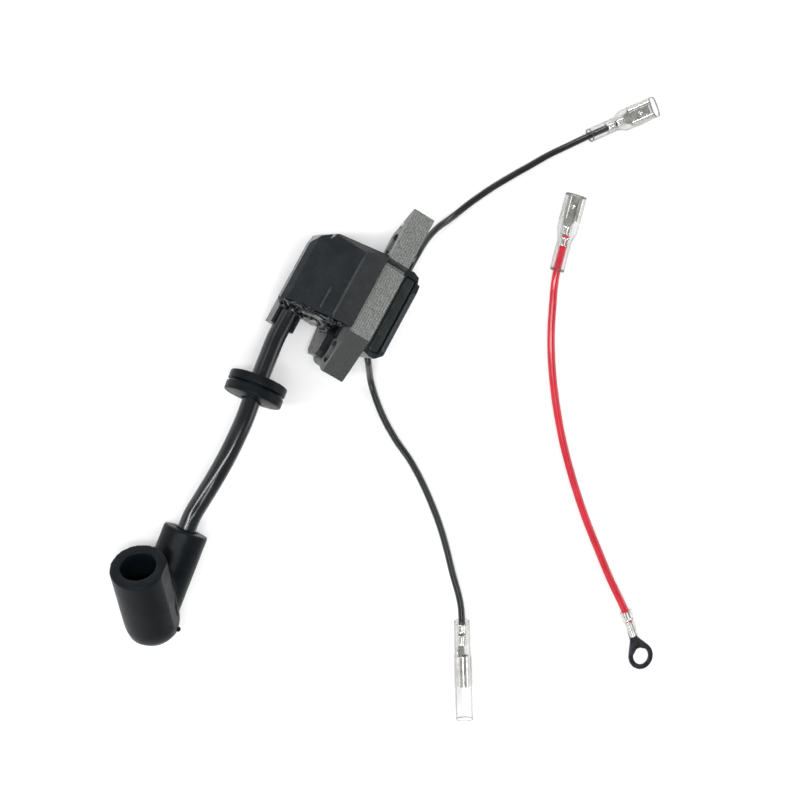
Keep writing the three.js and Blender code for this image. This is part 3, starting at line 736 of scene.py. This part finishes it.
spring = contact_spring()

# ---------------------------------------------------------------- terminals and clear sleeves


UPPER_SPADE = ((64.3, 103.3, 3), (84.15, 129.4, 3))
JUMPER_SPADE = ((78.9, 49.8, 3.2), (71.3, 79.4, 3.2))
BULLET_AT = (112.5, -89.9, 3.6)
CUT_EDGE = 0.34 * MM


def swept(name, path, thickness, span, place, body, node, flare=0.0):
    """A strip of sheet metal: its bent cross-section path, in (y, z), carried along X of place."""
    line = [Vector(p) for p in path]
    count = len(line)
    near = []
    far = []
    for i, p in enumerate(line):
        ahead = (line[min(i + 1, count - 1)] - line[max(i - 1, 0)]).normalized()
        out = Vector((-ahead.y, ahead.x)) * thickness / 2
        near.append(p + out)
        far.append(p - out)
    section = near + far[::-1]
    rings = []
    for t in (0, 0.02, 0.5, 0.98, 1):
        x = span[0] + (span[1] - span[0]) * t
        grow = 1 + flare * max(0, t - 0.9) * 10
        rings.append([place @ mm(x, q.x * grow, q.y * grow) for q in section])
    obj = add_mesh(name, lofted(rings, cap=True), TIN, body, [node])
    return bevel(obj, 0.07 * MM, 2, 40)


CREASE_DEPTH = 0.24
CREASE_WIDTH = 0.24  # radians
MOUTH_FLARE = 0.10
SERRATION = 0.05


def crimp(name, place, span, radius, body, flat, serrated=False):
    """An F-crimp: two wings rolled in on the wire, meeting in a crease along the top."""
    rings = []
    count = 40
    stations = 22
    for i in range(stations + 1):
        t = i / stations
        x = span[0] + (span[1] - span[0]) * t
        flare = MOUTH_FLARE * (abs(2 * t - 1) ** 6)
        mouth = 1 + flare + SERRATION * serrated * math.sin(t * 2 * math.pi * 5)
        ring = []
        for k in range(count):
            a = 2 * math.pi * k / count
            crease = CREASE_DEPTH * math.exp(-((a - math.pi / 2) / CREASE_WIDTH) ** 2)
            r = radius * (mouth - crease)
            ring.append(place @ mm(x, r * math.cos(a), r * math.sin(a) * flat - radius * (1 - flat) * 0.9))
        rings.append(ring)
    return add_mesh(name, lofted(rings, cap=True), TIN, body)


def ring_of(centre, radius, start, end, count):
    """Points on an arc in (y, z), from start to end degrees."""
    return [
        (centre[0] + radius * math.cos(math.radians(start + (end - start) * k / count)),
         centre[1] + radius * math.sin(math.radians(start + (end - start) * k / count)))
        for k in range(count + 1)
    ]


SPADE_SHEET = 0.42
SPADE_CURL = 0.92  # radius of each rolled side
SPADE_CURL_AT = 2.55  # from the middle
SPADE_LENGTH = 9.8
SPADE_FROM_CRIMP = 11


def spade_terminal(name, node, body, start, end, wire, crimp_at):
    """A 6.3 mm female spade: crimps on the wire, a neck, and a floor with both sides rolled over."""
    place = frame_on(mm(*start), mm(*end) - mm(*start))
    floor = -(wire + 0.8)
    box = crimp_at + SPADE_FROM_CRIMP
    left = ring_of((-SPADE_CURL_AT, 0), SPADE_CURL, 20, 270, 14)
    right = [(-y, z) for y, z in left[::-1]]
    obj = swept(name, left + right, SPADE_SHEET, (box, box + SPADE_LENGTH), place, body, node, flare=0.02)
    ramp = []
    for x, z, w in (
        (crimp_at, floor + 0.2, 0.9), (crimp_at + 7, floor + 0.2, 0.9), (crimp_at + 8.2, floor + 0.3, 1.5),
        (box, -SPADE_CURL, 2.6), (box + 0.6, -SPADE_CURL, 2.7),
    ):
        edges = ((-w, 0.2), (w, 0.2), (w, -0.2), (-w, -0.2))
        ramp.append([place @ mm(x, side, z + up) for side, up in edges])
    neck = add_mesh(name + "_neck", lofted(ramp, cap=True), TIN, body)
    bevel(neck, 0.08 * MM, 2, 40)
    wings = crimp(name + "_wire_grip", place, (crimp_at, crimp_at + 3.3), wire + 0.58, body, 0.95)
    strands = (crimp_at + 4.6, crimp_at + 8)
    strand_grip = crimp(name + "_strand_grip", place, strands, wire + 0.45, body, 0.78)
    dimple = turned([(0, 0.05), (0.12, 0.7), (0.3, 0.95), (0.3, 1.0), (-0.2, 1.0), (-0.2, 0.05)],
                    place @ Matrix.Translation(mm(box + 5.4, 0, -SPADE_CURL + 0.2))
                    @ Matrix.Rotation(-math.pi / 2, 4, "Y"), 24)
    lock = add_mesh(name + "_dimple", dimple, TIN, body)
    return [obj, neck, wings, strand_grip, lock]


def bullet_socket():
    """A round socket for a bullet: a split barrel, a flat neck, and two crimps on the wire."""
    place = frame_on(mm(*BULLET_AT), mm(133.4, -123.6, 3.6) - mm(*BULLET_AT))
    barrel = swept("lower_bullet", ring_of((0, 0), 2.22, -82, 262, 36), 0.45, (14, 26.3), place, "coil",
                   "lower_bullet_socket")
    grip = crimp("lower_bullet_wire_grip", place, (1.5, 4.9), 2.05, "coil", 0.95)
    strand_grip = crimp("lower_bullet_strand_grip", place, (6.1, 9.9), 1.65, "coil", 0.85)
    neck = []
    for x, w in ((1.5, 0.9), (10, 1.0), (12, 1.5), (14.2, 1.5)):
        low = -2.1 + 0.35 * (x > 13)
        edges = ((-w, 0.4), (w, 0.4), (w, 0), (-w, 0))
        neck.append([place @ mm(x, side, low + up) for side, up in edges])
    floor = add_mesh("lower_bullet_neck", lofted(neck, cap=True), TIN, "coil")
    bevel(floor, 0.08 * MM, 2, 40)
    return [barrel, grip, strand_grip, floor]


def convex_outline(points):
    """The convex outline of points in the plane, anticlockwise."""
    points = sorted(points)
    chains = []
    for run in (points, points[::-1]):
        chain = []
        for p in run:
            while len(chain) > 1 and ((chain[-1][0] - chain[-2][0]) * (p[1] - chain[-2][1])
                                      - (chain[-1][1] - chain[-2][1]) * (p[0] - chain[-2][0])) <= 0:
                chain.pop()
            chain.append(p)
        chains.append(chain[:-1])
    return chains[0] + chains[1]


RING_AT = mm(175.5, -54.1, 2.3)
RING_CENTRE = 21.3
RING_OUTER = 5.5
RING_HOLE = 3.5
RING_EDGE = ((0.12, -2.3), (0, -2.15), (0, -1.65), (0.12, -1.5))  # inset and height, bottom to top


def ring_lug():
    """A stamped ring that runs out into its tongue, with serrated crimps on the wire."""
    place = frame_on(RING_AT, (17, -12.8, 0))
    angles = [math.tau * k / 72 for k in range(72)]
    round_part = [(RING_CENTRE + RING_OUTER * math.cos(a), RING_OUTER * math.sin(a)) for a in angles]
    outline = convex_outline(round_part + [(13.4, 1.8), (13.4, -1.8)])
    rings = []
    for inset, z in RING_EDGE:
        ring = []
        for x, y in outline:
            away = Vector((x - RING_CENTRE, y))
            away -= away.normalized() * inset
            ring.append(place @ mm(RING_CENTRE + away.x, away.y, z))
        rings.append(ring)
    for inset, z in RING_EDGE[::-1]:
        ring = []
        for x, y in outline:
            away = Vector((x - RING_CENTRE, y)).normalized() * (RING_HOLE + inset)
            ring.append(place @ mm(RING_CENTRE + away.x, away.y, z))
        rings.append(ring)
    rings.append(rings[0])
    bm = lofted(rings)
    bmesh.ops.remove_doubles(bm, verts=bm.verts[:], dist=WELD)
    eye = add_mesh("ring_lug", bm, RING_TIN, "jumper", ["jumper_ring_terminal"])
    shade_smooth(eye, False)
    tongue = []
    for x, w in ((0.6, 0.9), (8, 1.0), (10.6, 1.5), (13, 1.75), (17.4, 2.9)):
        edges = ((-w, 0.72), (w, 0.72), (w, 0.04), (-w, 0.04))
        tongue.append([place @ mm(x, side, -2.3 + up) for side, up in edges])
    strip = add_mesh("ring_lug_tongue", lofted(tongue, cap=True), RING_TIN, "jumper")
    bevel(strip, 0.1 * MM, 2, 40)
    grip = crimp("ring_lug_wire_grip", place, (0.6, 4.2), 2.25, "jumper", 0.95)
    strand_grip = crimp("ring_lug_strand_grip", place, (4.9, 11.6), 1.8, "jumper", 0.82, serrated=True)
    return [eye, strip, grip, strand_grip]


upper_terminal = spade_terminal("upper_spade", "upper_spade_terminal", "coil", *UPPER_SPADE, 1.3, 8.4)
lower_terminal = bullet_socket()
jumper_terminal = spade_terminal("jumper_spade", "jumper_spade_terminal", "jumper", *JUMPER_SPADE, 1.5, 10)
ring_terminal = ring_lug()


HOOD_RADIUS = 3.3
HOOD_WIDEN = 0.19
HOOD_FLATTEN = 0.27
HOOD_SIDES = 56
HOOD_STEPS = 48


def hood_ring(place, x, radius, wall, opening):
    """One ring of a spade sleeve, round on the wire and squared and flattened over the terminal."""
    ring = []
    power = 2 + opening
    for k in range(HOOD_SIDES):
        a = 2 * math.pi * k / HOOD_SIDES
        c = math.cos(a)
        s = math.sin(a)
        square = (abs(c) ** power + abs(s) ** power) ** (-1 / power)
        wobble = 1 + 0.006 * math.sin(2 * a + x * 0.7) * opening
        r = (radius + wall) * square * wobble
        ring.append(place @ mm(x, r * c * (1 + HOOD_WIDEN * opening), r * s * (1 - HOOD_FLATTEN * opening)))
    return ring


def mark_cut_ends(obj, place, ends):
    """Give the cut ends of a sleeve the darker look of an edge seen through its length."""
    obj.data.materials.append(VINYL_CUT)
    back = place.inverted()
    for face in obj.data.polygons:
        x = (back @ face.center).x
        if min(abs(x - end * MM) for end in ends) < CUT_EDGE:
            face.material_index = 1


def smoothstep(x, a, b):
    t = min(1, max(0, (x - a) / (b - a)))
    return t * t * (3 - 2 * t)


def spade_sleeve(name, node, body, start, end, neck, taper, length):
    """A clear hood over a spade: a neck on the wire that opens out along its taper."""
    place = frame_on(mm(*start), mm(*end) - mm(*start))
    inside = []
    outside = []
    for k in range(HOOD_STEPS + 1):
        x = length * k / HOOD_STEPS
        opening = smoothstep(x, *taper)
        radius = neck + (HOOD_RADIUS - neck) * opening
        inside.append(hood_ring(place, x, radius, 0.02, opening))
        outside.append(hood_ring(place, x, radius, 0.33, opening))
    bm = lofted(inside + outside[::-1] + inside[:1])
    bmesh.ops.remove_doubles(bm, verts=bm.verts[:], dist=WELD)
    obj = add_mesh(name, bm, VINYL, body, [node])
    mark_cut_ends(obj, place, (0, length))
    return obj


upper_sleeve = spade_sleeve("upper_clear_sleeve", "upper_spade_sleeve", "upper_sleeve", *UPPER_SPADE,
                            2.4, (12.3, 16.4), 31.5)
jumper_sleeve = spade_sleeve("jumper_clear_sleeve", "jumper_spade_sleeve", "jumper_sleeve", *JUMPER_SPADE,
                             2.6, (11.4, 17.5), 31)
TUBE_LENGTH = 39.6
tube_profile = [
    (0, 2.77), (12, 2.82), (15, 3.12), (TUBE_LENGTH, 3.12), (TUBE_LENGTH, 3.47), (39.2, 3.47), (15, 3.47),
    (12, 3.18), (0, 3.13),
]
place = frame_on(mm(*BULLET_AT), (20.9, -33.7, 0))
lower_sleeve = add_mesh("lower_clear_sleeve", turned(rounded(tube_profile, 0.15, 2), place, 56), VINYL,
                        "lower_sleeve", ["lower_bullet_sleeve"])
mark_cut_ends(lower_sleeve, place, (0, TUBE_LENGTH))

# ---------------------------------------------------------------- inside the case

for node, material in {
    "primary_bobbin": FORMER, "secondary_former": FORMER, "primary_winding": COPPER,
    "secondary_winding": COPPER, "circuit_board": BOARD, "charge_capacitor": CAPACITOR, "thyristor": CHIP,
    "rectifier_diode": CHIP, "spike_terminal": BRASS,
}.items():
    NODES[node].data.materials.clear()
    NODES[node].data.materials.append(material)

# ---------------------------------------------------------------- floor and light

FLOOR_HALF = 6
FLOOR_DROP = 0.2 * MM

floor_mesh = bpy.data.meshes.new("floor")
floor_mesh.from_pydata([(-FLOOR_HALF, -FLOOR_HALF, 0), (FLOOR_HALF, -FLOOR_HALF, 0),
                        (FLOOR_HALF, FLOOR_HALF, 0), (-FLOOR_HALF, FLOOR_HALF, 0)], [], [(0, 1, 2, 3)])
floor = bpy.data.objects.new("floor", floor_mesh)
floor.location.z = -FLOOR_DROP
bpy.context.collection.objects.link(floor)
paper = bpy.data.materials.new("floor")
paper.use_nodes = True
paper_shader = paper.node_tree.nodes["Principled BSDF"]
paper_shader.inputs["Base Color"].default_value = (0.93, 0.93, 0.93, 1)
paper_shader.inputs["Roughness"].default_value = 0.8
floor_mesh.materials.append(paper)


def area_light(name, where, target, size, power):
    """A soft rectangular light, in metres and watts, turned to its target."""
    data = bpy.data.lights.new(name, "AREA")
    data.shape = "RECTANGLE"
    data.size, data.size_y = size
    data.energy = power
    light = bpy.data.objects.new(name, data)
    light.location = where
    light.rotation_euler = (Vector(target) - Vector(where)).to_track_quat("-Z", "Y").to_euler()
    bpy.context.collection.objects.link(light)


area_light("key", (-0.62, -0.4, 1.12), (0.03, -0.05, 0), (0.13, 1.6), 15)
area_light("back", (-0.15, 1.1, 0.8), (0.03, 0, 0), (0.6, 0.3), 6)
area_light("fill", (1.1, 0.5, 0.7), (0.03, 0, 0), (0.8, 0.8), 4.5)
area_light("front", (0.3, -1.2, 0.7), (0.03, 0, 0), (0.8, 0.6), 4.5)
area_light("left", (-1.2, 0.5, 0.8), (0.03, 0, 0), (0.7, 0.7), 3.5)
area_light("strip", (-0.12, -0.55, 1.1), (0.1, -0.1, 0), (0.5, 0.16), 2.5)

world = bpy.data.worlds.new("studio")
world.use_nodes = True
sky = world.node_tree
direction = sky.nodes.new("ShaderNodeTexCoord")
split = sky.nodes.new("ShaderNodeSeparateXYZ")
dome = sky.nodes.new("ShaderNodeMapRange")
dome.inputs["From Min"].default_value = 0.25
dome.inputs["From Max"].default_value = 0.75
dome.inputs["To Min"].default_value = 0.6
dome.inputs["To Max"].default_value = 0.26
sky.links.new(direction.outputs["Generated"], split.inputs["Vector"])
sky.links.new(split.outputs["Z"], dome.inputs["Value"])
sky.links.new(dome.outputs["Result"], sky.nodes["Background"].inputs["Strength"])
sky.nodes["Background"].inputs["Color"].default_value = (1, 1, 1, 1)
bpy.context.scene.world = world
bpy.context.scene.view_settings.view_transform = "Standard"
